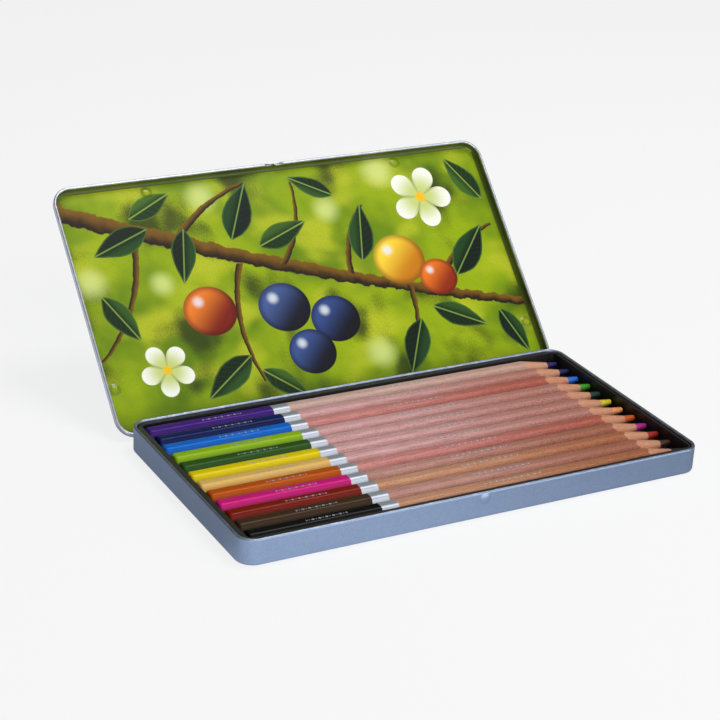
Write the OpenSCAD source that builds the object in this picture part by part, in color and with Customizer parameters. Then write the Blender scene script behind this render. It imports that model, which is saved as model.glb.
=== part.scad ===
// Hinged sheet-metal pencil tin with a moulded insert and twelve wood-cased colour pencils.
// Units are millimetres. X runs along the tin, -Y is the front, the hinge is at the back (+Y), +Z is up.
// The origin is the centre of the tin's underside. The lid is drawn in its open position.
// The pencils set the size of the insert, the insert sets the base, and the base sets the lid.

/* [Pencils] */
// Length of a sharpened pencil
pencil_length = 178; // [140:1:220]
// Width of a pencil across its flats
pencil_flats = 6.9; // [5.6:0.1:8.4]
// How much wider a pencil is over its rounded corners than across its flats
corner_over = 0.5; // [0.2:0.05:0.9]
// Length of the sharpened cone
cone_length = 16.5; // [12:0.5:24]
// Diameter of the coloured core
core_width = 3; // [2.4:0.1:4]
// Length of core that stands bare at the tip
core_bare = 5; // [3:0.5:8]
// Diameter of the blunt tip
tip_width = 2; // [1:0.1:2.2]
// Thickness of the lacquer dip that closes the blunt end in front of the core
dip_cover = 1; // [0.2:0.1:2]

/* [Insert] */
// Thickness of the moulded insert
insert_sheet = 0.4; // [0.3:0.05:0.6]
// Gap between one pencil and the next
pencil_gap = 0.3; // [0.3:0.05:1]
// Gap between a pencil and its groove
groove_play = 0.3; // [0.3:0.05:0.5]
// Room for a pencil at each end of the well
end_play = 0.8; // [0.8:0.1:3]
// Extra room beside the two outer pencils
side_play = 0.15; // [0.05:0.05:1]
// Corner radius of the well
well_corner = 1.8; // [1:0.1:2]
// How far the ridges between the grooves lie below the pencils' centre lines
ridge_drop = 1.8; // [1.6:0.1:2.4]
// Width of the insert's flange at the blunt ends of the pencils
flange_left = 2; // [1:0.1:6]
// Width of the flange at the tips
flange_right = 1; // [0.8:0.1:6]
// Width of the flange along the front and the back
flange_side = 1.65; // [1.2:0.05:4]
// How far the flange lies below the rim of the base
flange_drop = 0.8; // [0.4:0.1:1.6]
// Gap between the insert and the rolled rim of the base
insert_gap = 0.4; // [0.3:0.05:1]
// Gap between the insert's outer wall and the floor of the base
foot_gap = 0.3; // [0.1:0.05:1]

/* [Base] */
// Free height between the floor and the grooves of the insert
floor_room = 1.15; // [0.3:0.05:4]
// How far the rim stands above the pencils
rim_over = 0.7; // [0:0.1:3]
// Outer corner radius of the base, seen from above
base_corner = 6.6; // [5.5:0.1:14]
// Outer radius of the edge between floor and wall
base_floor_edge = 0.9; // [0.6:0.1:1.5]
// Radius of the rolled rim of the base
base_roll = 0.65; // [0.5:0.05:0.8]

/* [Lid] */
// How far the lid stands outside the base on every side
lid_overhang = 1.9; // [1.6:0.1:2.6]
// Depth of the lid from its panel to its rolled rim
lid_depth = 4; // [3.6:0.1:5]
// Outer radius of the edge between panel and skirt
lid_edge = 2.4; // [1.2:0.1:2.6]
// How much larger the lid's corner radius is than the base's
lid_corner_over = 1; // [0.5:0.1:2]
// Radius of the rolled rim of the lid
lid_roll = 0.55; // [0.45:0.05:0.65]
// Free height between the base rim and the panel of the closed lid
lid_headroom = 0.7; // [0.6:0.05:1.5]
// How far the lid stands open, in degrees from closed
lid_open = 135; // [95:1:136]

/* [Sheet] */
// Thickness of the tinplate
sheet = 0.3; // [0.2:0.01:0.38]

/* [Hinge] */
// Radius of the wire pins
pin_radius = 0.4; // [0.3:0.01:0.5]
// Wall of the rolled knuckles
knuckle_wall = 0.35; // [0.25:0.01:0.4]
// Gap between the knuckles and the back wall
knuckle_clear = 0.22; // [0.2:0.01:0.3]
// Radial play of the lid's knuckles on the pins
pin_play = 0.05; // [0.02:0.01:0.08]
// How far the hinge axis lies below the closed lid's rim
axle_drop = 2.29; // [1.9:0.01:2.6]
// Length of one hinge, along its pin
hinge_length = 24; // [16:1:40]
// Length of the base knuckle in the middle of one hinge
base_knuckle = 10; // [6:1:14]
// Gap between two knuckles of one hinge
knuckle_gap = 0.3; // [0.2:0.05:1]
// Distance of each hinge from the middle of the tin
hinge_place = 58; // [35:1:70]

/* [Catch and dimples] */
// Diameter of the catch pip on the front wall
pip_width = 4; // [3:0.1:4.8]
// How far the catch pip stands out
pip_height = 0.7; // [0.3:0.05:0.8]
// How far the middle of the pip lies below the rim of the base
pip_drop = 2.5; // [2.4:0.1:4]
// Width of the scoop in the lid rim over the pip
scoop_width = 8; // [6:0.5:14]
// Depth of that scoop
scoop_depth = 1.15; // [0.8:0.05:1.4]
// Diameter of the dimples pressed into the lid
dimple_width = 5.2; // [3.5:0.1:6.2]
// Depth of those dimples
dimple_depth = 0.4; // [0.2:0.05:0.48]
// Distance of the front dimples from the middle of the lid
front_dimple_out = 55.4; // [20:0.2:67]
// Distance of the front dimples from the lid's front edge
front_dimple_in = 4.9; // [4.4:0.1:10]
// Distance of the side dimples from the lid's back edge
side_dimple_forward = 20.1; // [12:0.1:50]
// Distance of the side dimples from the lid's side edges
side_dimple_in = 4.3; // [4:0.1:10]

/* [Hidden] */
$fn = 96;
COLOURS = [
    "violet", "navy", "blue", "light_green", "dark_green", "yellow",
    "peach", "orange", "magenta", "dark_red", "brown", "black"
];
// Colours of the cores, in the same order, back pencil first
CORES = [
    [0.20, 0.08, 0.45], [0.03, 0.06, 0.25], [0.02, 0.35, 0.85], [0.45, 0.72, 0.05],
    [0.05, 0.20, 0.06], [0.90, 0.82, 0.05], [0.90, 0.65, 0.35], [0.72, 0.28, 0.05],
    [0.80, 0.02, 0.45], [0.45, 0.03, 0.03], [0.16, 0.06, 0.04], [0.03, 0.03, 0.03]
];
// How far each pencil has slipped along its groove
slip = [-0.2, 0.5, -0.3, 0.3, -0.1, -0.2, -0.2, 0.1, 0, 0, 0.1, 0];
pencil_count = len(COLOURS);
pencil_round = pencil_flats + corner_over;
pencil_pitch = pencil_round + pencil_gap;
groove_radius = pencil_round / 2 + groove_play;
well_length = pencil_length + 2 * end_play;
well_depth = pencil_count * pencil_pitch + 2 * side_play;
insert_length = well_length + flange_left + flange_right;
insert_depth = well_depth + 2 * flange_side;
well_left = -insert_length / 2 + flange_left;
well_middle = well_left + well_length / 2;
base_length = insert_length + 2 * insert_gap + 4 * base_roll;
base_depth = insert_depth + 2 * insert_gap + 4 * base_roll;
base_height = sheet + floor_room + insert_sheet + groove_radius + pencil_flats / 2 + rim_over;
half_depth = base_depth / 2;
insert_corner = base_corner - 2 * base_roll - insert_gap;
insert_top = base_height - flange_drop;
pencil_up = base_height - rim_over - pencil_flats / 2;
pencil_start = well_left + end_play;
lid_length = base_length + 2 * lid_overhang;
lid_width = base_depth + 2 * lid_overhang;
lid_corner = base_corner + lid_corner_over;
lid_top = base_height + lid_headroom + sheet;
lid_rim = lid_top - lid_depth;
knuckle_radius = pin_radius + knuckle_wall;
axle_y = half_depth + knuckle_radius + knuckle_clear;
axle_up = lid_rim - axle_drop;
pip_up = base_height - pip_drop;
scoop_radius = scoop_width * scoop_width / (8 * scoop_depth) + scoop_depth / 2;
// Thickness of the glue between the slats and the core
glue_line = 0.01;
// A cut runs past the face that it opens by this much
past = 1;

// A flat plate with round corners.
module round_plate(w, d, r, h) {
    translate([-w / 2 + r, -d / 2, 0]) cube([w - 2 * r, d, h]);
    translate([-w / 2, -d / 2 + r, 0]) cube([w, d - 2 * r, h]);
    for (sx = [-1, 1], sy = [-1, 1])
        translate([sx * (w / 2 - r), sy * (d / 2 - r), 0]) cylinder(r = r, h = h);
}

// Runs a wall section round a rectangle with round corners. In the section, x is the distance out
// from the rectangle and y is height.
module run_round(w, d, r) {
    for (i = [0 : 3]) {
        sx = (i == 0 || i == 3) ? 1 : -1;
        sy = (i < 2) ? 1 : -1;
        translate([sx * (w / 2 - r), sy * (d / 2 - r), 0])
            rotate([0, 0, 90 * i]) rotate_extrude(angle = 90) translate([r, 0]) children();
    }
    for (a = [0, 180]) {
        rotate([0, 0, a]) translate([w / 2, 0, 0])
            rotate([90, 0, 0]) linear_extrude(height = d - 2 * r, center = true) children();
        rotate([0, 0, a + 90]) translate([d / 2, 0, 0])
            rotate([90, 0, 0]) linear_extrude(height = w - 2 * r, center = true) children();
    }
}

// Section of a rolled rim: three quarters of a tube, open towards the wall that it grows from.
module roll_section(r, wall_is_below) {
    difference() {
        circle(r = r);
        circle(r = r - sheet);
        translate([0, wall_is_below ? -r : 0]) square([r, r]);
    }
}

// Section of a bent edge: a quarter of a tube. up is -1 for an edge at the bottom of a wall.
module bend_section(r, up) {
    intersection() {
        difference() {
            circle(r = r);
            circle(r = r - sheet);
        }
        translate([0, up > 0 ? 0 : -r]) square([r, r]);
    }
}

// Section of the base: floor edge, wall and inward rolled rim.
module base_section() {
    translate([-sheet, base_floor_edge]) square([sheet, base_height - base_roll - base_floor_edge]);
    translate([-base_floor_edge, base_floor_edge]) bend_section(base_floor_edge, -1);
    translate([-base_roll, base_height - base_roll]) roll_section(base_roll, true);
}

// Section of the closed lid: panel edge, skirt and inward rolled rim.
module lid_section() {
    translate([-sheet, lid_rim + lid_roll]) square([sheet, lid_depth - lid_roll - lid_edge]);
    translate([-lid_edge, lid_top - lid_edge]) bend_section(lid_edge, 1);
    translate([-lid_roll, lid_rim + lid_roll]) roll_section(lid_roll, false);
}

// A pressed round cap of width w and height h on the plane z = 0 is cut from a ball of this radius.
function cap_ball(w, h) = (w * w / 4 + h * h) / (2 * h);

module cap(w, h) {
    intersection() {
        translate([0, 0, h - cap_ball(w, h)]) sphere(r = cap_ball(w, h));
        translate([-w, -w, -sheet / 3]) cube([2 * w, 2 * w, h + sheet]);
    }
}

module cap_hollow(w, h) {
    translate([0, 0, h - cap_ball(w, h)]) sphere(r = cap_ball(w, h) - sheet);
}

// The tube of a knuckle, drawn along X and centred on the axis.
module knuckle_tube(length, bore) {
    rotate([0, 90, 0]) difference() {
        cylinder(r = knuckle_radius, h = length, center = true);
        cylinder(r = bore, h = length + past, center = true);
    }
}

// Floor, walls, rolled rim and catch pip, without the hinge.
module base_pan() {
    // The hollow behind the pip stays below the rolled rim.
    hollow_height = base_height - 2 * base_roll - pip_up - 0.2 + pip_width;
    difference() {
        union() {
            run_round(base_length, base_depth, base_corner) base_section();
            round_plate(base_length - 2 * base_floor_edge, base_depth - 2 * base_floor_edge,
                base_corner - base_floor_edge, sheet);
            translate([0, -half_depth, pip_up]) rotate([90, 0, 0]) cap(pip_width, pip_height);
        }
        intersection() {
            translate([0, -half_depth, pip_up]) rotate([90, 0, 0]) cap_hollow(pip_width, pip_height);
            translate([-pip_width, -half_depth - past, pip_up - pip_width])
                cube([2 * pip_width, past + 2 * sheet, hollow_height]);
        }
    }
}

module base_shell() {
    color([0.56, 0.6, 0.68]) {
        base_pan();
        for (s = [-1, 1]) {
            translate([s * hinge_place, axle_y, axle_up]) knuckle_tube(base_knuckle, pin_radius);
            translate([s * hinge_place - base_knuckle / 2, half_depth - sheet / 2, axle_up])
                translate([0, 0, -knuckle_radius])
                    cube([base_knuckle, axle_y - half_depth + sheet / 2, knuckle_wall]);
        }
    }
}

// Panel, skirt and rolled rim of the lid as it sits when closed, with its dimples and its scoop.
module lid_pan() {
    spots = [
        [front_dimple_out, -lid_width / 2 + front_dimple_in],
        [-front_dimple_out, -lid_width / 2 + front_dimple_in],
        [lid_length / 2 - side_dimple_in, lid_width / 2 - side_dimple_forward],
        [-lid_length / 2 + side_dimple_in, lid_width / 2 - side_dimple_forward]
    ];
    difference() {
        union() {
            run_round(lid_length, lid_width, lid_corner) lid_section();
            translate([0, 0, lid_top - sheet])
                round_plate(lid_length - 2 * lid_edge, lid_width - 2 * lid_edge,
                    lid_corner - lid_edge, sheet);
            for (p = spots)
                translate([p[0], p[1], lid_top - sheet])
                    rotate([180, 0, 0]) cap(dimple_width, dimple_depth);
        }
        for (p = spots)
            translate([p[0], p[1], lid_top - sheet])
                rotate([180, 0, 0]) cap_hollow(dimple_width, dimple_depth);
        translate([0, -lid_width / 2 + 2 * lid_roll + past / 2, lid_rim + scoop_depth - scoop_radius])
            rotate([90, 0, 0]) cylinder(r = scoop_radius, h = 2 * lid_roll + past);
    }
}

module lid_closed() {
    side_knuckle = (hinge_length - base_knuckle) / 2 - knuckle_gap;
    lid_pan();
    for (s = [-1, 1], e = [-1, 1]) {
        middle = s * hinge_place + e * (hinge_length - side_knuckle) / 2;
        translate([middle, axle_y, axle_up]) knuckle_tube(side_knuckle, pin_radius + pin_play);
        translate([middle - side_knuckle / 2, axle_y + pin_radius + pin_play, axle_up])
            cube([side_knuckle, knuckle_wall - pin_play, axle_drop + lid_roll / 2]);
    }
}

module lid_shell() {
    color([0.66, 0.69, 0.74])
        translate([0, axle_y, axle_up]) rotate([-lid_open, 0, 0]) translate([0, -axle_y, -axle_up])
            lid_closed();
}

module hinge_pin(s) {
    color([0.75, 0.76, 0.78])
        translate([s * hinge_place, axle_y, axle_up]) rotate([0, 90, 0])
            cylinder(r = pin_radius, h = hinge_length, center = true);
}

module hinge_pin_left() {
    hinge_pin(-1);
}

module hinge_pin_right() {
    hinge_pin(1);
}

// How far back the centre line of pencil i lies. Pencil 0 is the back one.
function pencil_place(i) = ((pencil_count - 1) / 2 - i) * pencil_pitch;

// Section across the grooved floor of the insert, from front to back.
module groove_section() {
    wide = well_depth + 2 * insert_sheet;
    intersection() {
        difference() {
            for (i = [0 : pencil_count - 1])
                translate([pencil_place(i), pencil_up]) circle(r = groove_radius + insert_sheet);
            for (i = [0 : pencil_count - 1])
                translate([pencil_place(i), pencil_up]) circle(r = groove_radius);
        }
        translate([-wide / 2, 0]) square([wide, pencil_up - ridge_drop]);
    }
}

// The insert: outer wall, flange round the well, the well's wall and its grooved floor.
module insert_tray() {
    t = insert_sheet;
    wall_top = insert_top - t / 2;
    wall_foot = pencil_up - ridge_drop - 2 * t;
    groove_bottom = pencil_up - groove_radius - t;
    long = well_length + 2 * t;
    wide = well_depth + 2 * t;
    // The grooved floor's corners are cut off inside the outer wall's round ones.
    corner_x = insert_length / 2 - insert_corner;
    corner_y = insert_depth / 2 - insert_corner;
    color([0.05, 0.05, 0.055]) {
        run_round(insert_length, insert_depth, insert_corner)
            translate([-t, sheet + foot_gap]) square([t, insert_top - sheet - foot_gap]);
        difference() {
            translate([0, 0, insert_top - t])
                round_plate(insert_length - t, insert_depth - t, insert_corner - t / 2, t);
            translate([well_middle, 0, insert_top - t - past])
                round_plate(well_length, well_depth, well_corner, t + 2 * past);
        }
        translate([well_middle, 0, wall_foot]) difference() {
            round_plate(long, wide, well_corner + t, wall_top - wall_foot);
            translate([0, 0, -past]) round_plate(well_length, well_depth, well_corner, insert_top);
        }
        difference() {
            union() {
                translate([well_left - t / 2, 0, 0]) rotate([90, 0, 90])
                    linear_extrude(height = well_length + t) groove_section();
                for (x = [well_left - t, well_left + well_length])
                    translate([x, -wide / 2 + t / 2, groove_bottom])
                        cube([t, wide - t, wall_foot + t - groove_bottom]);
            }
            for (sx = [-1, 1], sy = [-1, 1])
                translate([sx * corner_x, sy * corner_y, groove_bottom - past])
                    rotate([0, 0, 45 * sy * (2 - sx)])
                        translate([insert_corner - 0.7 * t, -insert_corner, 0])
                            cube([insert_corner, 2 * insert_corner, insert_top]);
        }
    }
}

// The turned outline of a pencil's wood, from its dipped end at x = 0 to where the core stands bare.
module wood_outline() {
    r = pencil_round / 2;
    bare_from = pencil_length - core_bare;
    rotate([0, 90, 0]) rotate_extrude() polygon([
        [0, 0], [r - 0.95, 0], [r - 0.5, 0.15], [r - 0.15, 0.5], [r, 1.1],
        [r, pencil_length - cone_length], [core_width / 2, bare_from], [0, bare_from]
    ]);
}

// Puts a piece of pencil i in its groove.
module in_groove(i) {
    translate([pencil_start + slip[i], pencil_place(i), pencil_up]) children();
}

// One of the two grooved slats that are glued round the core. up is true for the upper one.
module slat(up) {
    difference() {
        intersection() {
            wood_outline();
            rotate([0, 90, 0]) rotate([0, 0, 30])
                cylinder(r = pencil_flats / sqrt(3), h = pencil_length, $fn = 6);
            translate([-past, -pencil_round, up ? 0 : -pencil_round])
                cube([pencil_length + 2 * past, 2 * pencil_round, pencil_round]);
        }
        translate([dip_cover, 0, 0]) rotate([0, 90, 0])
            cylinder(r = core_width / 2 + glue_line, h = pencil_length);
    }
}

module upper_slat(i) {
    color([0.78, 0.56, 0.42]) in_groove(i) slat(true);
}

module lower_slat(i) {
    color([0.74, 0.52, 0.38]) in_groove(i) slat(false);
}

module pencil_core(i) {
    color(CORES[i]) in_groove(i) rotate([0, 90, 0]) rotate_extrude() polygon([
        [0, dip_cover], [core_width / 2, dip_cover], [core_width / 2, pencil_length - core_bare],
        [tip_width / 2, pencil_length], [0, pencil_length]
    ]);
}

base_shell();
lid_shell();
hinge_pin_left();
hinge_pin_right();
insert_tray();
for (i = [0 : pencil_count - 1]) {
    upper_slat(i);
    lower_slat(i);
    pencil_core(i);
}
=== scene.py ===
import math
import bmesh
import bpy
from mathutils import Matrix, Vector


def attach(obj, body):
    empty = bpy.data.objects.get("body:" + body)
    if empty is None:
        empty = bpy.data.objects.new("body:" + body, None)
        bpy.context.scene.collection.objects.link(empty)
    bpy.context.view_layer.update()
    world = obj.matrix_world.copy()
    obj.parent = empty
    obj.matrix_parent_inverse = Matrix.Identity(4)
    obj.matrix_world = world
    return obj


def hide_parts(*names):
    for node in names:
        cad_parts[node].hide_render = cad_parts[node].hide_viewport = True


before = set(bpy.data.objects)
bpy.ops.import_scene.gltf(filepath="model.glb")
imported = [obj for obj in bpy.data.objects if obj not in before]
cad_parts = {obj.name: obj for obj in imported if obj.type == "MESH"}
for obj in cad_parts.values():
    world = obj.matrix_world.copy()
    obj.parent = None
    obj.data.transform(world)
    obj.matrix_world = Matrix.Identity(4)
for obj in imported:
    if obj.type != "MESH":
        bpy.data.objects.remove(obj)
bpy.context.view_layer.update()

MM = 0.001
FRAME_PX = 720
# Points closer than this, in millimetres, are one.
MERGE = 1e-4

# ---------------------------------------------------------------- sizes, in millimetres

SHEET = 0.3
# A pan's straight run keeps a narrow row of faces this wide beside each corner.
CORNER_ROW = 0.4
# The pans' faces shade as one surface up to this many degrees between them.
PAN_SMOOTH = 15.2

BASE_LENGTH = 186
BASE_DEPTH = 99.4
BASE_HEIGHT = 10
BASE_CORNER = 6.6
BASE_FOOT = 0.9
BASE_ROLL = 0.65
# The straight part of the wall, between the rounded foot and the roll.
BASE_WALL = (1.2, 9.1)
# The rolled rim is rubbed bright down to this far below its top.
BRIGHT_TOP = 0.3

LID_LENGTH = 189.8
LID_DEPTH = 103.2
LID_TOP = 11
LID_RIM = 7
LID_CORNER = 7.6
LID_BEND = 2.4
LID_ROLL = 0.55
# The straight part of the wall, between the roll and the bend, and where the flat panel starts.
LID_WALL = (7.8, 8.35)
LID_FLAT = 2.7
LID_OPEN = math.radians(135)

AXLE = Vector((0, 50.67, 4.71))
PIN_RADIUS = 0.4
KNUCKLE_RADIUS = 0.75
KNUCKLE_WALL = 0.35
PIN_PLAY = 0.05
HINGE_PLACE = 58
HINGE_LENGTH = 24
BASE_KNUCKLE = 10
LID_KNUCKLE = 6.7

PIP_UP = 7.5
PIP_WIDTH = 4.4
PIP_HEIGHT = 0.68
SCOOP_RADIUS = 7.53
SCOOP_DEPTH = 1.15
SCOOP_REACH = 2.2
DIMPLE_WIDTH = 5.2
DIMPLE_DEPTH = 0.4
DIMPLES = [(55.4, -46.7), (-55.4, -46.7), (90.6, 31.5), (-90.6, 31.5)]

PENCIL_FLATS = 6.9
PENCIL_ROUND = 7.4
PENCIL_PITCH = 7.7
PENCIL_UP = 5.85
PENCIL_START = -88.5
PENCIL_LENGTH = 178
# How many pencils' pitches the first pencil lies behind the middle.
PENCIL_FIRST = 5.5
# Radius of the round blank that a pencil's outside is trued from.
BLANK_RADIUS = 3.0
# Room for glue between a slat's groove and the core.
GLUE = 0.01
CONE_LENGTH = 16.5
CORE_WIDTH = 3
CORE_BARE = 5
TIP_WIDTH = 2
TIP_WORN = 0.45
DIP_COVER = 1
DIP_ROUND = 1.15
DIP_LENGTH = 50.3
BAND_END = 57
CONE_SLOPE = (PENCIL_ROUND - CORE_WIDTH) / 2 / (CONE_LENGTH - CORE_BARE)
# Half the spacing of the lozenges in a foil row, and the start and end of each row along the pencil.
FOIL_BEAT = 1.3
FOIL_ROWS = [(22, 37.7), (92, 115.5)]

# ---------------------------------------------------------------- camera

# Focal length and the origin's place are in pixels, its depth in metres, the sensor in millimetres.
AZIMUTH = math.radians(-29.216)
ELEVATION = math.radians(23.696)
ROLL = math.radians(-3.032)
FOCAL_PX = 2058.4
ORIGIN_PX = (414.25, 458.63)
ORIGIN_DEPTH = 758.55 * MM
SENSOR = 36.0


def make_camera():
    back = Vector((math.sin(AZIMUTH) * math.cos(ELEVATION), -math.cos(AZIMUTH) * math.cos(ELEVATION),
                   math.sin(ELEVATION)))
    right = Vector((math.cos(AZIMUTH), math.sin(AZIMUTH), 0))
    up = back.cross(right)
    turned_right = math.cos(ROLL) * right - math.sin(ROLL) * up
    turned_up = math.sin(ROLL) * right + math.cos(ROLL) * up
    axes = Matrix((turned_right, turned_up, back))
    half = FRAME_PX / 2
    origin_seen = Vector(((ORIGIN_PX[0] - half) * ORIGIN_DEPTH / FOCAL_PX,
                          -(ORIGIN_PX[1] - half) * ORIGIN_DEPTH / FOCAL_PX, -ORIGIN_DEPTH))
    data = bpy.data.cameras.new("camera")
    data.sensor_width = SENSOR
    data.lens = SENSOR * FOCAL_PX / FRAME_PX
    data.clip_start = 0.05
    data.clip_end = 50
    camera = bpy.data.objects.new("camera", data)
    turn = axes.transposed()
    camera.matrix_world = Matrix.Translation(-(turn @ origin_seen)) @ turn.to_4x4()
    bpy.context.collection.objects.link(camera)
    bpy.context.scene.camera = camera


# ---------------------------------------------------------------- writing finishes


class Socket:
    """One output of a node. Arithmetic on it adds Math nodes to its finish."""

    def __init__(self, finish, output):
        self.finish = finish
        self.output = output

    def __add__(self, other):
        return self.finish.math("ADD", self, other)

    def __radd__(self, other):
        return self.finish.math("ADD", other, self)

    def __sub__(self, other):
        return self.finish.math("SUBTRACT", self, other)

    def __rsub__(self, other):
        return self.finish.math("SUBTRACT", other, self)

    def __mul__(self, other):
        return self.finish.math("MULTIPLY", self, other)

    def __rmul__(self, other):
        return self.finish.math("MULTIPLY", other, self)

    def __truediv__(self, other):
        return self.finish.math("DIVIDE", self, other)

    def __pow__(self, other):
        return self.finish.math("POWER", self, other)

    def __abs__(self):
        return self.finish.math("ABSOLUTE", self)

    def __neg__(self):
        return self.finish.math("MULTIPLY", self, -1)


class Finish:
    """A material, or the world, under its maker's hands: nodes, coordinates, mixes and the surface."""

    def __init__(self, name, world=None):
        self.material = world or bpy.data.materials.new(name)
        self.material.use_nodes = True
        self.tree = self.material.node_tree
        self.tree.nodes.clear()
        self.out = self.tree.nodes.new("ShaderNodeOutputWorld" if world else "ShaderNodeOutputMaterial")

    def put(self, socket, value):
        if isinstance(value, Socket):
            self.tree.links.new(value.output, socket)
        elif socket.type == "RGBA":
            socket.default_value = (*value, 1)
        else:
            socket.default_value = value

    def node(self, kind, settings, sockets, out=0):
        made = self.tree.nodes.new(kind)
        for name, value in settings.items():
            setattr(made, name, value)
        for name, value in sockets.items():
            self.put(made.inputs[name], value)
        return Socket(self, made.outputs[out])

    def math(self, operation, *values):
        return self.node("ShaderNodeMath", {"operation": operation}, dict(enumerate(values)))

    def place(self, shift=(0, 0, 0), turn=(0, 0, 0), scale=(1000, 1000, 1000)):
        """Object coordinates in millimetres, turned and shifted."""
        seen = self.node("ShaderNodeTexCoord", {}, {}, "Object")
        return self.node("ShaderNodeMapping", {}, {"Vector": seen, "Location": shift, "Rotation": turn,
                                                   "Scale": scale})

    def split(self, vector):
        made = self.tree.nodes.new("ShaderNodeSeparateXYZ")
        self.put(made.inputs[0], vector)
        return [Socket(self, output) for output in made.outputs]

    def join(self, x, y, z):
        return self.node("ShaderNodeCombineXYZ", {}, {0: x, 1: y, 2: z})

    def noise(self, vector, scale, detail=2, roughness=0.5, distortion=0):
        return self.node("ShaderNodeTexNoise", {}, {"Vector": vector, "Scale": scale, "Detail": detail,
                                                    "Roughness": roughness, "Distortion": distortion})

    def step(self, value, start, end, low=0, high=1):
        """A soft step: low before start, high after end."""
        return self.node("ShaderNodeMapRange", {"interpolation_type": "SMOOTHSTEP"},
                         {0: value, 1: start, 2: end, 3: low, 4: high})

    def mix(self, factor, first, second, blend="MIX"):
        return self.node("ShaderNodeMix", {"data_type": "RGBA", "blend_type": blend},
                         {0: factor, 6: first, 7: second}, 2)

    def bump(self, height, strength, distance):
        return self.node("ShaderNodeBump", {},
                         {"Height": height, "Strength": strength, "Distance": distance})

    def ray(self, kind):
        """1 for the rays of one kind, and 0 for all others."""
        return self.node("ShaderNodeLightPath", {}, {}, "Is " + kind + " Ray")

    def surface(self, **sockets):
        shader = self.tree.nodes.new("ShaderNodeBsdfPrincipled")
        for name, value in sockets.items():
            self.put(shader.inputs[name.replace("_", " ")], value)
        self.tree.links.new(shader.outputs[0], self.out.inputs["Surface"])
        return self.material


def ink(red, green, blue):
    """A colour as a printer's eight-bit numbers, made linear."""
    return tuple((c / 255 / 12.92) if c <= 10 else ((c / 255 + 0.055) / 1.055) ** 2.4
                 for c in (red, green, blue))


def toned(colour, times, plus=0):
    """An eight-bit colour made darker or paler, then made linear."""
    return ink(*[min(255, c * times + plus) for c in colour])


# ---------------------------------------------------------------- tinplate, plastic and wire


def satin_lacquer():
    """Blue-grey satin lacquer with a fine flake, on the outside of the tin."""
    finish = Finish("satin_blue_grey_lacquer")
    place = finish.place()
    flake = finish.noise(place, 4.5, 2, 0.7)
    cloud = finish.noise(place, 0.05, 2)
    tone = finish.mix(finish.step(flake, 0.3, 0.72), (0.215, 0.3, 0.465), (0.325, 0.42, 0.62))
    colour = finish.mix(cloud * 0.35, tone, (0.2, 0.27, 0.42))
    ripple = finish.bump(flake * 0.6 + cloud * 20, 0.5, 0.00002)
    return finish.surface(Base_Color=colour, Metallic=0.8, Roughness=0.36 + flake * 0.16, Normal=ripple)


def rolled_tin(name, dark, light):
    """The rolled rims, where the same lacquer is stretched thinner and shines more. The lid's rim is given
    paler colours: painted light from above and behind.
    """
    finish = Finish(name)
    place = finish.place()
    flake = finish.noise(place, 3, 2, 0.6)
    rub = finish.noise(place, 0.35, 3)
    colour = finish.mix(finish.step(rub, 0.45, 0.7), dark, light)
    return finish.surface(Base_Color=colour, Metallic=0.85, Roughness=0.3 + flake * 0.14,
                          Normal=finish.bump(rub, 0.4, 0.00002))


def bare_tin():
    """Bright unpainted tinplate with its rolling lines, inside the base."""
    finish = Finish("bare_tinplate")
    lines = finish.noise(finish.place(scale=(40, 2500, 2500)), 1, 2)
    bloom = finish.noise(finish.place(), 0.06, 3)
    colour = finish.mix(bloom, (0.62, 0.63, 0.65), (0.74, 0.74, 0.73))
    return finish.surface(Base_Color=colour, Metallic=1.0, Roughness=0.26 + lines * 0.14,
                          Normal=finish.bump(lines, 0.25, 0.00001))


def black_plastic():
    """Thin black vacuum-formed sheet, glossy on the bends, with faint grain."""
    finish = Finish("black_formed_plastic")
    place = finish.place()
    grain = finish.noise(place, 3.2, 3)
    cloud = finish.noise(place, 0.08, 2)
    colour = finish.mix(cloud, (0.006, 0.006, 0.006), (0.016, 0.015, 0.014))
    return finish.surface(Base_Color=colour, Roughness=0.3 + cloud * 0.2,
                          Normal=finish.bump(grain + cloud * 6, 0.35, 0.00003))


def steel_wire():
    finish = Finish("drawn_steel_wire")
    lines = finish.noise(finish.place(scale=(60, 2500, 2500)), 1, 2)
    colour = finish.mix(lines, (0.45, 0.45, 0.46), (0.62, 0.61, 0.6))
    return finish.surface(Base_Color=colour, Metallic=1.0, Roughness=0.24 + lines * 0.2)


# ---------------------------------------------------------------- the print inside the lid

# Leaves: place along and up the panel, turn in degrees, length, width, lightness.
LEAVES = [
    (-72, 27, 200, 26, 11, 0.2), (-56, 41, 25, 22, 9, 0.7), (-48, 18, -105, 24, 10, 0.15),
    (-20, 34, 62, 27, 12, 0.1), (-4, 22, 20, 25, 10, 0.55), (-80, -4, -62, 23, 10, 0.45),
    (30, 18, 75, 26, 11, 0.25), (76, 4, 48, 28, 12, 0.1), (62, -24, -28, 25, 10, 0.35),
    (84, -34, -70, 22, 9, 0.15), (38, -34, -118, 26, 11, 0.1), (-44, -34, 214, 27, 11, 0.3),
    (-22, -40, -40, 22, 9, 0.6), (84, 36, 120, 24, 10, 0.6), (14, 41, 150, 21, 8, 0.35)
]
# Twigs: start, end, thickness, how far the middle bows.
TWIGS = [
    (-50, 24, -14, 46, 1.5, 3), (-8, 9, 6, 44, 1.2, -4), (20, 1, 34, 30, 1.3, 3), (56, -12, 90, 14, 1.5, 4),
    (-66, 31, -92, -20, 1.4, 6), (-26, 12, -30, -38, 1.3, -5), (44, -8, 30, -46, 1.2, 4)
]
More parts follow.
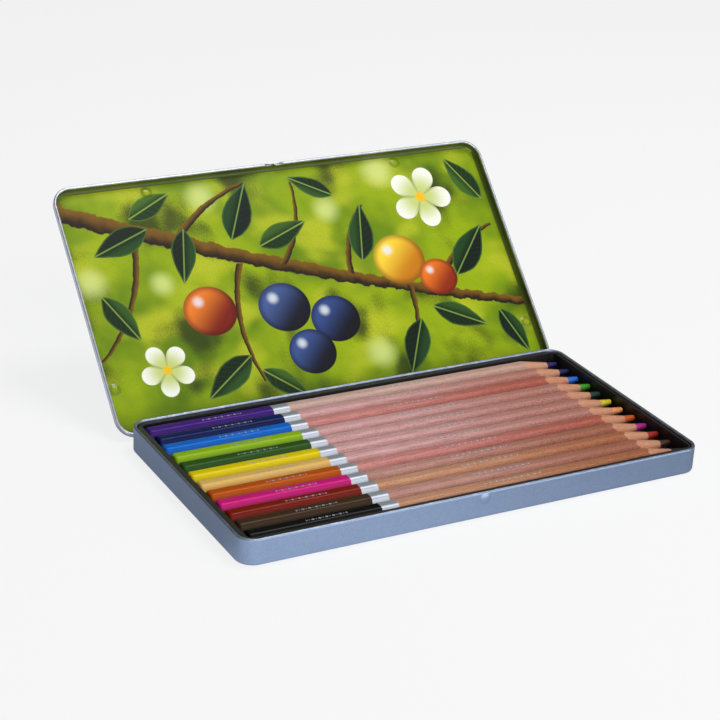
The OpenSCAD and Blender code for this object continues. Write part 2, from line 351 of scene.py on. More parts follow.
# Fruit: place, radius, two inks from the lit side to the shaded side.
FRUIT = [
    (-13, -9, 11, (70, 92, 150), (14, 14, 30)), (7, -17, 10.5, (52, 76, 138), (10, 10, 22)),
    (-7, -29, 10, (60, 84, 146), (12, 12, 26)), (43, 4, 11.5, (250, 214, 60), (196, 120, 12)),
    (-44, -6, 11, (238, 128, 40), (120, 26, 8)), (58, -6, 8.5, (236, 120, 30), (140, 40, 10))
]
# Soft lights behind: place, radius.
GLOWS = [(-34, 42, 9), (46, 44, 10), (18, 30, 8), (-88, 12, 9), (22, -34, 9), (-60, 8, 7)]
PETALS = 5
# Blossoms: place, radius, turn of the first petal.
BLOSSOMS = [(62, 30, 14, 0.3), (-68, -27, 11, 1.1)]


def inside_turned(along, up, u, v, turn):
    """Coordinates centred on u, v and turned by some degrees."""
    across = along - u
    rise = up - v
    cos = math.cos(math.radians(turn))
    sin = math.sin(math.radians(turn))
    return across * cos + rise * sin, rise * cos - across * sin


def paint_glow(finish, under, along, up, glow):
    """A soft round patch of light in the background."""
    u, v, radius = glow
    a, b = inside_turned(along, up, u, v, 0)
    away = (a * a + b * b) ** 0.5
    return finish.mix(finish.step(away, radius, radius * 0.1) * 0.6, under, ink(226, 236, 150))


def paint_twig(finish, under, along, up, wobble, twig):
    u0, v0, u1, v1, thick, bow = twig
    turn = math.degrees(math.atan2(v1 - v0, u1 - u0))
    half = math.hypot(u1 - u0, v1 - v0) / 2
    a, b = inside_turned(along, up, (u0 + u1) / 2, (v0 + v1) / 2, turn)
    t = a / half
    b = b - (1 - t * t) * bow + wobble
    width = thick * (0.8 - t * 0.3)
    side = b / width
    mask = finish.step(abs(side), 1.15, 0.85) * finish.step(abs(t), 1.02, 0.98)
    bark = finish.mix(finish.step(side, -0.9, 0.9), ink(30, 18, 8), ink(116, 84, 16))
    return finish.mix(mask, under, bark)


def paint_leaf(finish, under, along, up, wobble, leaf):
    u, v, turn, length, width, light = leaf
    a, b = inside_turned(along, up, u, v, turn)
    t = a / (length / 2)
    half_width = (1 - t * t) * (1 - t * 0.35) * (width / 2) + wobble * 0.25
    mask = finish.step(half_width - abs(b), -0.15, 0.2) * finish.step(abs(t), 1.01, 0.99)
    dark = ink(6 + 20 * light, 18 + 46 * light, 10 + 6 * light)
    pale = ink(22 + 62 * light, 58 + 62 * light, 24 + 8 * light)
    blade = finish.mix(finish.step(b, -0.4, 0.4 + width * 0.3), dark, pale)
    edge = ink(70 + 50 * light, 110 + 30 * light, 50)
    blade = finish.mix(finish.step(half_width - abs(b), 0.9, 0.2) * 0.6, blade, edge)
    vein = finish.math("PINGPONG", a - abs(b) * 0.9, 1.4)
    blade = finish.mix(finish.step(vein, 0.22, 0.05) * 0.3, blade, pale)
    rib = finish.step(abs(b), 0.42, 0.18)
    blade = finish.mix(rib * 0.75, blade, ink(120 + 40 * light, 160 + 20 * light, 70))
    return finish.mix(mask, under, blade)


def paint_fruit(finish, under, along, up, fruit):
    u, v, radius, lit, shade = fruit
    a, b = inside_turned(along, up, u, v, 0)
    away = (a * a + b * b * 1.12) ** 0.5
    mask = finish.step(away, radius + 0.2, radius - 0.25)
    slant = (b - a) / radius
    skin = finish.mix(finish.step(slant, -0.9, 1.15), ink(*shade), ink(*lit))
    skin = finish.mix(finish.step(away, radius * 0.72, radius) * 0.6, skin, toned(shade, 0.5))
    left = a + radius * 0.35
    above = b - radius * 0.4
    glint = (left * left + above * above) ** 0.5
    skin = finish.mix(finish.step(glint, radius * 0.3, radius * 0.05) * 0.75, skin, ink(226, 236, 240))
    return finish.mix(mask, under, skin)


def paint_blossom(finish, under, along, up, blossom):
    u, v, radius, first = blossom
    a, b = inside_turned(along, up, u, v, 0)
    away = (a * a + b * b) ** 0.5
    turned = finish.math("ARCTAN2", b, a) * (PETALS / 2) + first
    lobe = abs(finish.math("COSINE", turned))
    edge = radius * (lobe ** 0.55 * 0.62 + 0.38)
    mask = finish.step(edge - away, -0.15, 0.3)
    ribs = finish.math("PINGPONG", turned, 0.16)
    petal = finish.mix(finish.step(away, radius, radius * 0.25), ink(246, 248, 238), ink(196, 208, 120))
    petal = finish.mix(finish.step(lobe, 0.5, 0.05) * 0.7, petal, ink(150, 168, 96))
    petal = finish.mix(finish.step(ribs, 0.05, 0.0) * 0.25, petal, ink(190, 200, 150))
    petal = finish.mix(finish.step(away, radius * 0.2, radius * 0.12), petal, ink(238, 190, 30))
    return finish.mix(mask, under, petal)


def leaf_print_painted_shade():
    """The printed and varnished inside of the lid: fruit, leaves and blossom on soft lime green, with
    painted shade on its inner walls and bends and round its dimples.
    """
    finish = Finish("foliage_print_painted_shade")
    # The lid stands open, so its own flat place is found by turning the frame's back round the axle.
    turn = Matrix.Rotation(LID_OPEN, 3, "X")
    place = finish.place(tuple(AXLE - turn @ AXLE), (LID_OPEN, 0, 0))
    along, back, height = finish.split(place)
    drop = LID_TOP - SHEET - height
    up = -back
    flat = finish.join(along, up, 0)
    grain = finish.noise(flat, 2.4, 2, 0.7)
    stroke = finish.noise(finish.join(along * 0.5 + up * 0.9, along * 3.2 - up * 1.8, 0), 0.9, 3, 0.7)
    cloud = finish.noise(flat, 0.022, 3, 0.55)
    patch = finish.noise(finish.join(along + 311, up * 1.3 - 97, 0), 0.035, 2)
    blot = finish.noise(finish.join(along - 154, up * 0.8 + 44, 0), 0.05, 2, 0.4)
    wobble = (finish.noise(flat, 0.22, 2) - 0.5) * 3
    colour = finish.mix(finish.step(cloud + stroke * 0.12, 0.4, 0.66), ink(92, 126, 0), ink(148, 172, 2))
    colour = finish.mix(finish.step(patch, 0.48, 0.7) * 0.85, colour, ink(186, 194, 36))
    colour = finish.mix(finish.step(blot + (stroke - 0.5) * 0.22, 0.5, 0.7) * 0.9, colour, ink(34, 46, 6))
    colour = finish.mix(finish.step(stroke, 0.42, 0.7) * 0.3, colour, ink(70, 96, 2))
    for glow in GLOWS:
        colour = paint_glow(finish, colour, along, up, glow)
    main = (up - 6 + along * 0.348 - along * along * 0.00047 + wobble * 1.4) / (3.0 - along * 0.012)
    bark = finish.mix(finish.step(main + (grain - 0.5), -0.9, 0.9), ink(30, 18, 8), ink(120, 84, 18))
    colour = finish.mix(finish.step(abs(main), 1.08, 0.92), colour, bark)
    for twig in TWIGS:
        colour = paint_twig(finish, colour, along, up, wobble * 0.5, twig)
    for leaf in LEAVES:
        colour = paint_leaf(finish, colour, along, up, wobble, leaf)
    for fruit in FRUIT:
        colour = paint_fruit(finish, colour, along, up, fruit)
    for blossom in BLOSSOMS:
        colour = paint_blossom(finish, colour, along, up, blossom)
    # Painted shade: the inner walls and bends round the flat panel are darkened to a dark olive, as they
    # face away from the lamps.
    sideways = abs(along) - LID_LENGTH / 2 + LID_BEND
    endways = abs(up) - LID_DEPTH / 2 + LID_BEND
    beyond = finish.math("MAXIMUM", sideways, endways)
    wall = finish.step(beyond, 0.05, 0.35) + finish.step(drop, 0.42, 0.6)
    # Painted shade: a darker ring round the rim of each dimple, so the shallow dome stands out.
    painted_dimple_shade = finish.step(drop, 0.02, 0.1) * finish.step(drop, 0.38, 0.26)
    colour = finish.mix(painted_dimple_shade * 0.4, colour, ink(66, 84, 6))
    colour = finish.mix(finish.math("MINIMUM", wall, 1) * 0.88, colour, ink(62, 76, 16))
    return finish.surface(Base_Color=colour, Roughness=0.4 + grain * 0.1, Specular_IOR_Level=0.1,
                          Coat_Weight=0.4, Coat_Roughness=0.1,
                          Normal=finish.bump(cloud * 8 + grain * 0.3, 0.25, 0.00003))


# ---------------------------------------------------------------- pencils: lacquer, band, wood and lead

# Tones that pencil wood comes in, at the middle of a pencil and towards its tip.
WOODS = {
    "pale": ((200, 170, 160), (195, 155, 140)),
    "rose": ((210, 165, 165), (165, 105, 85)),
    "red": ((205, 140, 135), (160, 75, 50)),
    "dusky": ((190, 145, 135), (150, 85, 55)),
    "tan": ((200, 150, 120), (155, 85, 50))
}
# Freshly cut wood on the sharpened cones.
CUT_WOOD = (205, 150, 120)
# Name, lacquer, lead, tone of wood, how speckled, slip.
PENCILS = [
    ("violet", (60, 20, 120), (28, 14, 92), "pale", 0.2, -0.2),
    ("navy", (0, 20, 80), (14, 16, 70), "rose", 0.3, 0.5),
    ("blue", (0, 100, 200), (30, 110, 220), "red", 0.2, -0.3),
    ("light_green", (140, 180, 20), (60, 150, 20), "rose", 0.4, 0.3),
    ("dark_green", (40, 80, 20), (15, 45, 35), "rose", 0.8, -0.1),
    ("yellow", (220, 200, 0), (215, 200, 30), "rose", 0.3, -0.2),
    ("peach", (220, 180, 100), (240, 150, 90), "rose", 0.3, -0.2),
    ("orange", (180, 80, 0), (200, 80, 20), "red", 0.3, 0.1),
    ("magenta", (200, 20, 120), (165, 20, 130), "dusky", 0.9, 0),
    ("dark_red", (120, 20, 0), (160, 25, 10), "tan", 0.4, 0),
    ("brown", (60, 40, 20), (60, 30, 20), "dusky", 0.3, 0.1),
    ("black", (0, 0, 0), (26, 25, 25), "tan", 0.4, 0)
]


def foil_row(finish, x, y, start, end):
    """A stamped row of small lozenges with a dot between each two."""
    beat = finish.math("PINGPONG", x - start, FOIL_BEAT)
    lozenge = finish.step(beat * 1.25 + abs(y) * 1.7, 1.05, 0.9)
    dot = finish.step((FOIL_BEAT - beat) * (FOIL_BEAT - beat) + y * y, 0.07, 0.04)
    return (lozenge + dot) * finish.step(x, start - 0.1, start) * finish.step(x, end, end - 0.1)


def pencil_place(index, slip):
    """Where the middle of a pencil's dipped end lies."""
    return PENCIL_START + slip, (PENCIL_FIRST - index) * PENCIL_PITCH, PENCIL_UP


def cone_reach(x):
    """Radius of the sharpened wood at a place along the pencil, for a number or a socket."""
    return CORE_WIDTH / 2 + (PENCIL_LENGTH - CORE_BARE - x) * CONE_SLOPE


def drawn_noise(finish, seed, stretch, *noise):
    """Noise drawn out along a pencil."""
    drawn = finish.node("ShaderNodeMapping", {}, {"Vector": seed, "Scale": (stretch, 1, 1)})
    return finish.noise(drawn, *noise)


def pencil_finish(index, name, lacquer, tone, speckled, slip):
    """One pencil's outside: dipped lacquer, a silver band, clear-varnished wood and the sharpened cone."""
    finish = Finish(name + "_pencil_outside")
    wood_near, wood_far = WOODS[tone]
    x, y, z = finish.split(finish.place([-c for c in pencil_place(index, slip)]))
    away = (y * y + z * z) ** 0.5
    cone = cone_reach(x)
    seed = finish.join(x + 37.7 * index, y + 5.1 * index, z)
    ragged = (finish.noise(seed, 1.6, 2) - 0.5) * 0.3

    dip = finish.step(x + ragged * 0.3, DIP_LENGTH + 0.05, DIP_LENGTH - 0.05)
    band = finish.step(x + ragged, BAND_END + 0.05, BAND_END - 0.05) - dip
    cut = finish.step(away - cone, -0.035, -0.012) * finish.step(x, 155, 156)

    streak = drawn_noise(finish, seed, 0.05, 2.3, 3, 0.62, 0.4)
    fine = drawn_noise(finish, seed, 0.16, 7, 2, 0.7)
    pore = drawn_noise(finish, seed, 0.3, 4.2, 2, 0.6)
    crinkle = drawn_noise(finish, seed, 0.6, 2.6, 3)
    wood = finish.mix(finish.step(x, 60, 168), ink(*wood_near), ink(*wood_far))
    ray = finish.mix(finish.step(streak, 0.36, 0.6), toned(wood_far, 0.8), wood)
    wood = finish.mix(0.4, wood, ray)
    wood = finish.mix(finish.step(fine, 0.35, 0.68) * 0.35, wood, toned(wood_near, 1.16))
    wood = finish.mix(finish.step(pore, 0.56, 0.68) * (0.22 + 0.5 * speckled), wood, ink(110, 66, 46))
    fresh = finish.mix(finish.step(streak, 0.3, 0.7, 0.6, 1), ink(*wood_far), ink(*CUT_WOOD))
    wood = finish.mix(cut, wood, fresh)
    silver = finish.mix(crinkle, (0.37, 0.4, 0.46), (0.52, 0.55, 0.61))
    colour = finish.mix(band, wood, silver)
    colour = finish.mix(dip, colour, ink(*lacquer))
    on_dip, on_wood = (foil_row(finish, x, y + 0.5, *ends) for ends in FOIL_ROWS)
    mark = (on_dip + on_wood) * finish.step(z, 3.1, 3.2) * finish.step(crinkle, 0.34, 0.42)
    colour = finish.mix(mark, colour, ink(196, 204, 214))

    bare = 1 - dip
    rough = 0.5 + fine * 0.12 + cut * 0.2 - band * 0.08 - dip * 0.12
    relief = streak * bare * 0.3 + fine * bare * 0.2 + band * crinkle * 0.8 + dip * 0.5 + band * 0.3
    return finish.surface(Base_Color=colour, Metallic=band * 0.9 + mark * 0.85, Roughness=rough,
                          Specular_IOR_Level=0.08, Coat_Weight=dip * 0.08, Coat_Roughness=0.12,
                          Normal=finish.bump(relief, 0.5, 0.00005))


def lead_finish(index, name, lead):
    """Waxy coloured lead, rubbed paler on its sharpened end."""
    finish = Finish(name + "_lead")
    place = finish.place((37.7 * index, 0, 0))
    rub = finish.noise(place, 2.2, 3, 0.6)
    turned = finish.noise(finish.place((11 * index, 0, 0), scale=(3500, 700, 700)), 1, 2)
    worn = finish.step(rub * 0.6 + turned * 0.4, 0.38, 0.64)
    colour = finish.mix(worn, toned(lead, 0.86), toned(lead, 1.06, 6))
    return finish.surface(Base_Color=colour, Roughness=0.36 + rub * 0.22,
                          Normal=finish.bump(rub * 2 + turned, 0.3, 0.00003))


# ---------------------------------------------------------------- pressing and rolling sheet


def arc(centre, radius, start, end, steps):
    """Points along part of a circle. Angles are in degrees, anticlockwise from straight out."""
    angles = [math.radians(start + (end - start) * k / steps) for k in range(steps + 1)]
    return [(centre[0] + radius * math.cos(a), centre[1] + radius * math.sin(a)) for a in angles]


def base_section():
    """Half section of the base, from the middle of its underside round the rolled rim to the inner floor."""
    roll = (-BASE_ROLL, BASE_HEIGHT - BASE_ROLL)
    foot = (-BASE_FOOT, BASE_FOOT)
    low, high = BASE_WALL
    return [(-BASE_CORNER, 0), (-low, 0), *arc(foot, BASE_FOOT, -90, 0, 8), (0, low), (0, high),
            *arc(roll, BASE_ROLL, 0, 270, 22), *arc(roll, BASE_ROLL - SHEET, 270, 0, 14), (-SHEET, high),
            (-SHEET, low), *arc(foot, BASE_FOOT - SHEET, 0, -90, 8), (-low, SHEET), (-BASE_CORNER, SHEET)]


def lid_section():
    """Half section of the closed lid, from the middle of its top round the rolled rim to the inner face."""
    roll = (-LID_ROLL, LID_RIM + LID_ROLL)
    bend = (-LID_BEND, LID_TOP - LID_BEND)
    low, high = LID_WALL
    inner = LID_TOP - SHEET
    return [(-LID_CORNER, LID_TOP), (-LID_FLAT, LID_TOP), *arc(bend, LID_BEND, 90, 0, 10), (0, high),
            (0, low), *arc(roll, LID_ROLL, 0, -270, 22), *arc(roll, LID_ROLL - SHEET, -270, 0, 14),
            (-SHEET, low), (-SHEET, high), *arc(bend, LID_BEND - SHEET, 0, 90, 10), (-LID_FLAT, inner),
            (-LID_CORNER, inner)]


def last_row(result, key="geom"):
    """The points and edges that an operator made."""
    verts = [g for g in result[key] if isinstance(g, bmesh.types.BMVert)]
    edges = [g for g in result[key] if isinstance(g, bmesh.types.BMEdge)]
    return verts, edges


def push_row(bm, edges, move):
    """Push a row of edges out by a move and return the new row."""
    verts, made = last_row(bmesh.ops.extrude_edge_only(bm, edges=edges))
    bmesh.ops.translate(bm, vec=move, verts=verts)
    fresh = set(verts)
    return [e for e in made if e.verts[0] in fresh and e.verts[1] in fresh]


def close_up(bm):
    """Merge doubled points, fill what is open and turn every face outwards."""
    bmesh.ops.remove_doubles(bm, verts=bm.verts, dist=MERGE)
    bmesh.ops.holes_fill(bm, edges=[e for e in bm.edges if e.is_boundary], sides=0)
    bmesh.ops.recalc_face_normals(bm, faces=bm.faces)


def drawn_pan(section, length, depth, corner):
    """A pan pressed from sheet: its section is carried round a quarter, mirrored twice and closed."""
    bm = bmesh.new()
    along = length / 2 - corner
    across = depth / 2 - corner
    verts = [bm.verts.new((length / 2 + out, 0, up)) for out, up in section]
    row = [bm.edges.new(pair) for pair in zip(verts, verts[1:])]
    for move in (across - CORNER_ROW, CORNER_ROW):
        row = push_row(bm, row, (0, move, 0))
    ends = list({v for e in row for v in e.verts})
    spun = bmesh.ops.spin(bm, geom=ends + row, cent=(along, across, 0), axis=(0, 0, 1), dvec=(0, 0, 0),
                          angle=math.pi / 2, steps=16, use_merge=False, use_normal_flip=False,
                          use_duplicate=False)
    row = last_row(spun, "geom_last")[1]
    for move in (CORNER_ROW, along - CORNER_ROW):
        row = push_row(bm, row, (-move, 0, 0))
    for axis in ("X", "Y"):
        bmesh.ops.mirror(bm, geom=bm.verts[:] + bm.edges[:] + bm.faces[:], matrix=Matrix(), merge_dist=MERGE,
                         axis=axis, mirror_u=False, mirror_v=False, mirror_udim=False, use_shapekey=False)
    close_up(bm)
    return bm


def spun_form(profile, place, axis, steps=48):
    """A round form: a profile of (distance from the axis, height) is spun about an axis through a place."""
    bm = bmesh.new()
    verts = [bm.verts.new((out, 0, up)) for out, up in profile]
    edges = [bm.edges.new(pair) for pair in zip(verts, verts[1:])]
    bmesh.ops.spin(bm, geom=verts + edges, cent=(0, 0, 0), axis=(0, 0, 1), dvec=(0, 0, 0), angle=2 * math.pi,
                   steps=steps, use_merge=True, use_normal_flip=False, use_duplicate=False)
    bmesh.ops.remove_doubles(bm, verts=bm.verts, dist=MERGE)
    bmesh.ops.recalc_face_normals(bm, faces=bm.faces)
    turn = Vector((0, 0, 1)).rotation_difference(Vector(axis)).to_matrix().to_4x4()
    bmesh.ops.transform(bm, matrix=Matrix.Translation(place) @ turn, verts=bm.verts)
    return bm


def lens(width, height, thick):
    """Profile of a shallow pressed dome that stands on the plane 0 and reaches thick below it."""
    ball = (width * width / 4 + height * height) / (2 * height)
    half = math.asin(width / 2 / ball)
    angles = [half * k / 12 for k in range(13)]
    top = [(ball * math.sin(a), height - ball + ball * math.cos(a)) for a in angles]
    return [(0, -thick), (width / 2, -thick)] + top[::-1]


def bar(section, start, end):
    """A closed outline in the (y, z) plane, drawn out along X."""
    bm = bmesh.new()
    face = bm.faces.new([bm.verts.new((start, y, z)) for y, z in section])
    pushed = bmesh.ops.extrude_face_region(bm, geom=[face])
    bmesh.ops.translate(bm, vec=(end - start, 0, 0), verts=last_row(pushed)[0])
    bmesh.ops.recalc_face_normals(bm, faces=bm.faces)
    return bm


def base_knuckle_section():
    """A tongue of the base wall, curled under and round the pin."""
    centre = (AXLE.y, AXLE.z)
    outer = arc(centre, KNUCKLE_RADIUS, -90, 235, 26)
    inner = arc(centre, KNUCKLE_RADIUS - KNUCKLE_WALL, 235, -90, 22)
    wall = BASE_DEPTH / 2 - SHEET / 2
    return [(wall, AXLE.z - KNUCKLE_RADIUS), *outer, *inner, (wall, AXLE.z - KNUCKLE_RADIUS + KNUCKLE_WALL)]


def lid_knuckle_section():
    """A tongue of the lid wall, reaching down and curled round the pin."""
    centre = (AXLE.y, AXLE.z)
    top = LID_RIM + LID_ROLL / 2
    outer = arc(centre, KNUCKLE_RADIUS, 0, -325, 26)
    inner = arc(centre, PIN_RADIUS + PIN_PLAY, -325, 0, 22)
    return [(AXLE.y + KNUCKLE_RADIUS, top), *outer, *inner, (AXLE.y + PIN_RADIUS + PIN_PLAY, top)]


def as_object(bm, name):
    """Put a bmesh into the scene as an object."""
    mesh = bpy.data.meshes.new(name)
    bm.to_mesh(mesh)
    bm.free()
    obj = bpy.data.objects.new(name, mesh)
    bpy.context.collection.objects.link(obj)
    return obj


def worked(body, tools):
    """Join tools to a mesh or cut them out of it, in order, and return the new bmesh."""
    target = as_object(body, "blank")
    helpers = []
    for operation, tool in tools:
        helper = as_object(tool, "tool")
        helpers.append(helper)
        press = target.modifiers.new("press", "BOOLEAN")
        press.operation = operation
        press.solver = "EXACT"
        press.object = helper
    done = bmesh.new()
    done.from_object(target, bpy.context.evaluated_depsgraph_get())
    for obj in [target] + helpers:
        mesh = obj.data
        bpy.data.objects.remove(obj)
        bpy.data.meshes.remove(mesh)
    return done


def finished(bm, name, body, nodes, finishes, smooth=35):
    """Scale a mesh from millimetres, shade it, dress it and set it on its body."""
    bmesh.ops.scale(bm, vec=(MM, MM, MM), verts=bm.verts)
    for face in bm.faces:
        face.smooth = True
    obj = as_object(bm, name)
    obj.data.set_sharp_from_angle(angle=math.radians(smooth))
    for material in finishes:
        obj.data.materials.append(material)
    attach(obj, body)
    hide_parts(*nodes)
    return obj


def add_parts(bm, parts):
    """Lay more bmeshes into one."""
    for part in parts:
        mesh = bpy.data.meshes.new("part")
        part.to_mesh(mesh)
        part.free()
        bm.from_mesh(mesh)
        bpy.data.meshes.remove(mesh)


# ---------------------------------------------------------------- the tin


def make_base(lacquer, rolled, tin):
    """The base pan with its catch pip, hollow behind, and the two base knuckles."""
    pan = drawn_pan(base_section(), BASE_LENGTH, BASE_DEPTH, BASE_CORNER)
    front = (0, -BASE_DEPTH / 2, PIP_UP)
    pan = worked(pan, [
        ("UNION", spun_form(lens(PIP_WIDTH, PIP_HEIGHT, SHEET / 3), front, (0, -1, 0))),
        ("DIFFERENCE", spun_form(lens(PIP_WIDTH - 1.2, PIP_HEIGHT - SHEET, SHEET * 2), front, (0, -1, 0)))
    ])
    section = base_knuckle_section()
    half = BASE_KNUCKLE / 2
    add_parts(pan, [bar(section, s * HINGE_PLACE - half, s * HINGE_PLACE + half) for s in (-1, 1)])
    middle = Vector((0, 0, 5))
    for face in pan.faces:
        centre = face.calc_center_median()
        inward = face.normal.dot(middle - centre) > 0
        from_top = BASE_HEIGHT - centre.z
        bright = from_top < BRIGHT_TOP or (inward and from_top < 2 * BASE_ROLL)
        if bright and abs(centre.y) < BASE_DEPTH / 2 + 0.01:
            face.material_index = 1
        elif inward and abs(centre.y) < BASE_DEPTH / 2 and centre.z > SHEET / 2:
            face.material_index = 2
    return finished(pan, "base_tin", "base", ["base_shell"], [lacquer, rolled, tin],
                    PAN_SMOOTH)


def make_lid(lacquer, rolled, print_inside):
    """The lid with its dimples, its thumb scoop and four knuckles, turned open about the axle."""
    pan = drawn_pan(lid_section(), LID_LENGTH, LID_DEPTH, LID_CORNER)
    inner = LID_TOP - SHEET
    ball = (DIMPLE_WIDTH ** 2 / 4 + DIMPLE_DEPTH ** 2) / (2 * DIMPLE_DEPTH)
    dent = 2 * math.sqrt((ball - SHEET) ** 2 - (ball - DIMPLE_DEPTH - SHEET) ** 2)
    tools = []
    for x, y in DIMPLES:
        bump = spun_form(lens(DIMPLE_WIDTH, DIMPLE_DEPTH, SHEET / 2), (x, y, inner), (0, 0, -1))
        hollow = spun_form(lens(dent, DIMPLE_DEPTH, 0.5), (x, y, LID_TOP), (0, 0, -1))
        tools += [("UNION", bump), ("DIFFERENCE", hollow)]
    scoop = bmesh.new()
    centre = Matrix.Translation((0, -LID_DEPTH / 2 + 0.6, LID_RIM + SCOOP_DEPTH - SCOOP_RADIUS))
    bmesh.ops.create_cone(scoop, cap_ends=True, segments=160, radius1=SCOOP_RADIUS, radius2=SCOOP_RADIUS,
                          depth=SCOOP_REACH, matrix=centre @ Matrix.Rotation(math.pi / 2, 4, "X"))
    tools.append(("DIFFERENCE", scoop))
    pan = worked(pan, tools)
    section = lid_knuckle_section()
    knuckles = []
    for s in (-1, 1):
        for e in (-1, 1):
            middle = s * HINGE_PLACE + e * (HINGE_LENGTH - LID_KNUCKLE) / 2
            knuckles.append(bar(section, middle - LID_KNUCKLE / 2, middle + LID_KNUCKLE / 2))
    add_parts(pan, knuckles)
    for face in pan.faces:
        centre = face.calc_center_median()
        level = Vector((centre.x, centre.y, 0))
        inward = face.normal.z < 0 if abs(face.normal.z) > 0.3 else face.normal.dot(level) < 0
        # The rolled rim takes the rim finish, which on the lid is painted paler for light from above and
        # behind.
        if centre.z > LID_RIM + 2 * LID_ROLL + 0.02:
            face.material_index = 2 if inward else 0
        else:
            face.material_index = 1 if abs(centre.y) < LID_DEPTH / 2 + 0.001 else 0
    opened = Matrix.Translation(AXLE) @ Matrix.Rotation(-LID_OPEN, 4, "X") @ Matrix.Translation(-AXLE)
    bmesh.ops.transform(pan, matrix=opened, verts=pan.verts)
    return finished(pan, "lid_tin", "lid", ["lid_shell"], [lacquer, rolled, print_inside],
                    PAN_SMOOTH)


# ---------------------------------------------------------------- the pencils


def hexagon_reach(angle):
    """How far a pencil's side lies from its centre line, one flat facing up, its corners rounded."""
    sixth = math.radians(30)
    off = abs(math.radians((math.degrees(angle) - 60) % 60 - 30))
    flat = PENCIL_FLATS / 2
    corner = (PENCIL_ROUND / 2 - flat / math.cos(sixth)) / (1 - 1 / math.cos(sixth))
    if math.tan(off) <= (flat - corner) * math.tan(sixth) / flat:
        return flat / math.cos(off)
    centre = (flat - corner) / math.cos(sixth)
    aside = centre * math.sin(sixth - off)
    return centre * math.cos(sixth - off) + math.sqrt(corner ** 2 - aside ** 2)


def slat_rows():
    """Places along a slat where its outside has a row of points."""
    end = PENCIL_LENGTH - CORE_BARE - GLUE / CONE_SLOPE
    dome = [DIP_ROUND - DIP_ROUND * math.cos(math.radians(9 * k)) for k in range(1, 11)]
    shoulder = PENCIL_LENGTH - CONE_LENGTH
    scallop = [shoulder - 0.2 + 0.1 * k for k in range(20)]
    return dome + [1.5, DIP_LENGTH, BAND_END, 100, 140] + scallop + [164, 167, 170, end - 0.3, end]


def make_slat(index, upper, finish, name, slip):
    """One half of a pencil's wood: a profile is spun half round, and its outside is trued to the hexagon."""
    bm = bmesh.new()
    rows = slat_rows()
    radius = CORE_WIDTH / 2 + GLUE
    outside = [(0, 0), (0, 1.2), (0, 2.2)] + [(x, BLANK_RADIUS) for x in rows[:-1]] + [(rows[-1], radius)]
    inside = [(DIP_COVER, radius), (DIP_COVER, 0)]
    verts = [bm.verts.new((x, r, 0)) for x, r in outside + inside]
    edges = [bm.edges.new(pair) for pair in zip(verts, verts[1:] + verts[:1])]
    bmesh.ops.spin(bm, geom=verts + edges[:-1], cent=(0, 0, 0), axis=(1, 0, 0), dvec=(0, 0, 0),
                   angle=math.pi if upper else -math.pi, steps=48, use_merge=False, use_normal_flip=False,
                   use_duplicate=False)
    for v in bm.verts:
        reach = math.hypot(v.co.y, v.co.z)
        on_end = v.co.x < 1e-5 and reach > 0.5
        if reach > BLANK_RADIUS - 0.1 or on_end:
            side = hexagon_reach(math.atan2(v.co.z, v.co.y))
            short = DIP_ROUND - min(DIP_ROUND, v.co.x)
            inset = DIP_ROUND - math.sqrt(max(0, DIP_ROUND ** 2 - short ** 2))
            full = side * reach / (PENCIL_ROUND / 2) if on_end else min(side - inset, cone_reach(v.co.x))
            v.co.y *= full / reach
            v.co.z *= full / reach
    close_up(bm)
    bmesh.ops.translate(bm, vec=pencil_place(index, slip), verts=bm.verts)
    half = "upper_slat" if upper else "lower_slat"
    return finished(bm, name + "_" + half + "_wood", name + "_pencil", [name + "_pencil_" + half],
                    [finish], 30)


def make_core(index, finish, name, slip):
    """A pencil's lead, sharpened to a blunt tip."""
    radius = CORE_WIDTH / 2
    bare = PENCIL_LENGTH - CORE_BARE
    blunt = TIP_WIDTH / 2
    angles = [math.radians(a) for a in (8, 25, 42, 60, 78, 90)]
    nose = [(PENCIL_LENGTH - TIP_WORN + TIP_WORN * math.sin(a), blunt - TIP_WORN + TIP_WORN * math.cos(a))
            for a in angles]
    steps = [(bare + f * CORE_BARE, radius + f * (blunt - radius)) for f in (0.2, 0.4, 0.6, 0.8)]
    profile = [(DIP_COVER, 0), (DIP_COVER, radius), (bare - 0.1, radius), (bare, radius)] + steps
    profile += nose + [(PENCIL_LENGTH, 0)]
    bm = spun_form([(r, x) for x, r in profile], (0, 0, 0), (1, 0, 0), 40)
    bmesh.ops.translate(bm, vec=pencil_place(index, slip), verts=bm.verts)
    return finished(bm, name + "_lead_core", name + "_pencil", [name + "_pencil_core"],
                    [finish])


# ---------------------------------------------------------------- studio


def make_floor():
    """A wide pale floor, white where it is seen, that takes a soft shadow. For mirrored rays it glows in a
    painted patch of light, brightest in front of the tin and fainter behind it."""
    bm = bmesh.new()
    bmesh.ops.create_grid(bm, x_segments=2, y_segments=2, size=4)
    floor = as_object(bm, "studio_floor")
    finish = Finish("studio_floor")
    along, back = finish.split(finish.place())[:2]
    # Painted light for the metal's reflections: a bright patch in front of the tin and a fainter one behind.
    ahead = finish.step(back, -24, -58, 0.45, 1)
    behind = finish.step(back, 55, 85, 0, 0.55)
    painted_light_patch = (ahead + behind) * finish.step(along, 150, -90, 0.28, 1)
    seen = finish.ray("Camera")
    through = finish.ray("Transmission")
    mirrored = finish.ray("Glossy")
    tone = finish.mix(mirrored, (1, 1, 1), finish.join(painted_light_patch, painted_light_patch, painted_light_patch))
    glow = finish.node("ShaderNodeEmission", {}, {"Color": tone, "Strength": 1.0})
    dull = finish.node("ShaderNodeBsdfDiffuse", {}, {"Color": (0.8, 0.8, 0.8)})
    lit = (seen + through) * 0.82 + mirrored * 0.95
    blend = finish.node("ShaderNodeMixShader", {}, {0: lit, 1: dull, 2: glow})
    finish.put(finish.out.inputs["Surface"], blend)
    floor.data.materials.append(finish.material)


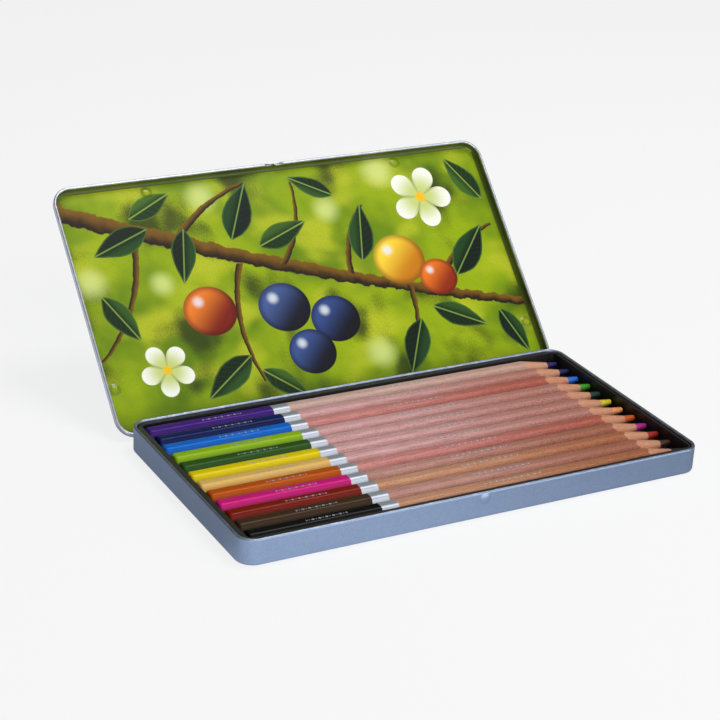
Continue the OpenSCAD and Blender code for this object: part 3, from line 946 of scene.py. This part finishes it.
def make_world():
    """White to the camera, a soft fill for everything else, and a light ceiling in mirrored metal."""
    world = bpy.data.worlds.new("studio")
    finish = Finish("studio", world)
    way = finish.split(finish.node("ShaderNodeTexCoord", {}, {}, "Generated"))
    ceiling = finish.step(way[2], 0.6, 0.95) * finish.ray("Glossy")
    fill = finish.node("ShaderNodeBackground", {},
                       {"Color": (0.95, 0.98, 1), "Strength": 0.11 + ceiling * 0.4})
    white = finish.node("ShaderNodeBackground", {}, {"Strength": 1.0})
    seen = finish.ray("Camera")
    blend = finish.node("ShaderNodeMixShader", {}, {0: seen, 1: fill, 2: white})
    finish.put(finish.out.inputs["Surface"], blend)
    bpy.context.scene.world = world


def softbox(name, place, size, power):
    """A rectangular lamp aimed at the middle of the tin."""
    data = bpy.data.lights.new(name, "AREA")
    data.shape = "RECTANGLE"
    data.size, data.size_y = size
    data.energy = power
    lamp = bpy.data.objects.new(name, data)
    aim = Vector((0, 0.02, 0.03)) - Vector(place)
    lamp.matrix_world = Matrix.Translation(place) @ aim.to_track_quat("-Z", "Y").to_matrix().to_4x4()
    lamp.visible_camera = False
    bpy.context.collection.objects.link(lamp)


# ---------------------------------------------------------------- putting it together

make_camera()
lacquer = satin_lacquer()
rolled = rolled_tin("base_rim_lacquer", (0.23, 0.27, 0.36), (0.33, 0.37, 0.45))
# The lid's rim lacquer is a much paler copy of the base's: painted light, standing for the light from above
# and behind.
lid_rim_painted_light = rolled_tin("lid_rim_lacquer_painted_paler", (0.5, 0.54, 0.6), (0.64, 0.67, 0.72))
make_base(lacquer, rolled, bare_tin())
make_lid(lacquer, lid_rim_painted_light, leaf_print_painted_shade())
for index, (name, paint, lead, tone, speckled, slip) in enumerate(PENCILS):
    outside = pencil_finish(index, name, paint, tone, speckled, slip)
    make_slat(index, True, outside, name, slip)
    make_slat(index, False, outside, name, slip)
    make_core(index, lead_finish(index, name, lead), name, slip)

for node, finish in (("insert_tray", black_plastic()), ("hinge_pin_left", steel_wire()),
                     ("hinge_pin_right", steel_wire())):
    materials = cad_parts[node].data.materials
    materials.clear()
    materials.append(finish)

make_floor()
make_world()
softbox("front", (0.2, -1.1, 0.47), (3.1, 0.95), 22)
softbox("top", (0.26, 0.03, 0.92), (0.36, 0.34), 3.8)

bpy.context.scene.view_settings.view_transform = "Standard"
